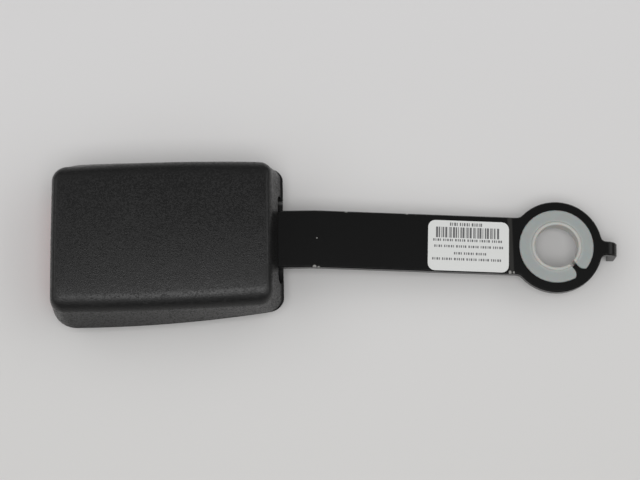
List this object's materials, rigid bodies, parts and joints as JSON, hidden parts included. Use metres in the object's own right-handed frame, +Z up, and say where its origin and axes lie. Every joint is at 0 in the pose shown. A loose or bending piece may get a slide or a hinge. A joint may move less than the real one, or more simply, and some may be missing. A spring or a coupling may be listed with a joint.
{
  "type": "seat belt buckle",
  "caption": "Seat belt buckle with a moulded two-part housing, end release button and tongue latch, on a flat steel stalk that ends in a bushed anchor eye.",
  "frame": {"origin": "bottom centre of the whole part's box: middle of the length, middle of the housing's width, on the surface that the front cover lies on", "axes": "+X from the tongue's mouth towards the anchor eye, +Y across the housing, +Z up through the rear cover"},
  "size_m": [0.2074, 0.0616, 0.0269],
  "materials": {
    "housing_plastic": "fine grained",
    "button_plastic": "satin",
    "slide_plastic": "as moulded",
    "bush_plastic": "as moulded",
    "plated_steel": "zinc plated",
    "spring_wire": "drawn wire",
    "coated_steel": "black coated, satin",
    "label_film": "printed film"
  },
  "bodies": {
    "housing": {"rear_cover": "housing_plastic", "front_cover": "housing_plastic", "buckle_frame": "plated_steel", "latch_pivot": "plated_steel", "latch_pivot_ring": "plated_steel", "stalk": "coated_steel", "stalk_rivet_left": "plated_steel", "stalk_rivet_right": "plated_steel", "eye_bush": "bush_plastic", "label": "label_film", "button_spring_left": "spring_wire", "button_spring_right": "spring_wire", "latch_spring": "spring_wire", "ejector_spring": "spring_wire"},
    "button": {"release_button": "button_plastic"},
    "latch": {"latch": "plated_steel"},
    "ejector": {"ejector": "slide_plastic"}
  },
  "joints": [
    {"name": "button_press", "type": "slide", "parent": "housing", "child": "button", "axis": [1, 0, 0], "range_m": [0, 0.005], "stiffness_N_per_m": 800, "springref_m": -0.006, "deforming": ["button_spring_left", "button_spring_right"]},
    {"name": "latch_swing", "type": "hinge", "parent": "housing", "child": "latch", "pos_m": [-0.04371, 0, 0.0065], "axis": [0, 1, 0], "range_deg": [-6.7, 0], "deforming": ["latch_spring"]},
    {"name": "ejector_slide", "type": "slide", "parent": "housing", "child": "ejector", "axis": [1, 0, 0], "range_m": [0, 0.01], "stiffness_N_per_m": 250, "springref_m": -0.01, "deforming": ["ejector_spring"]}
  ],
  "couplings": [
    {"joint": "latch_swing", "follows": "button_press", "rad_per_m": -23.038}
  ]
}
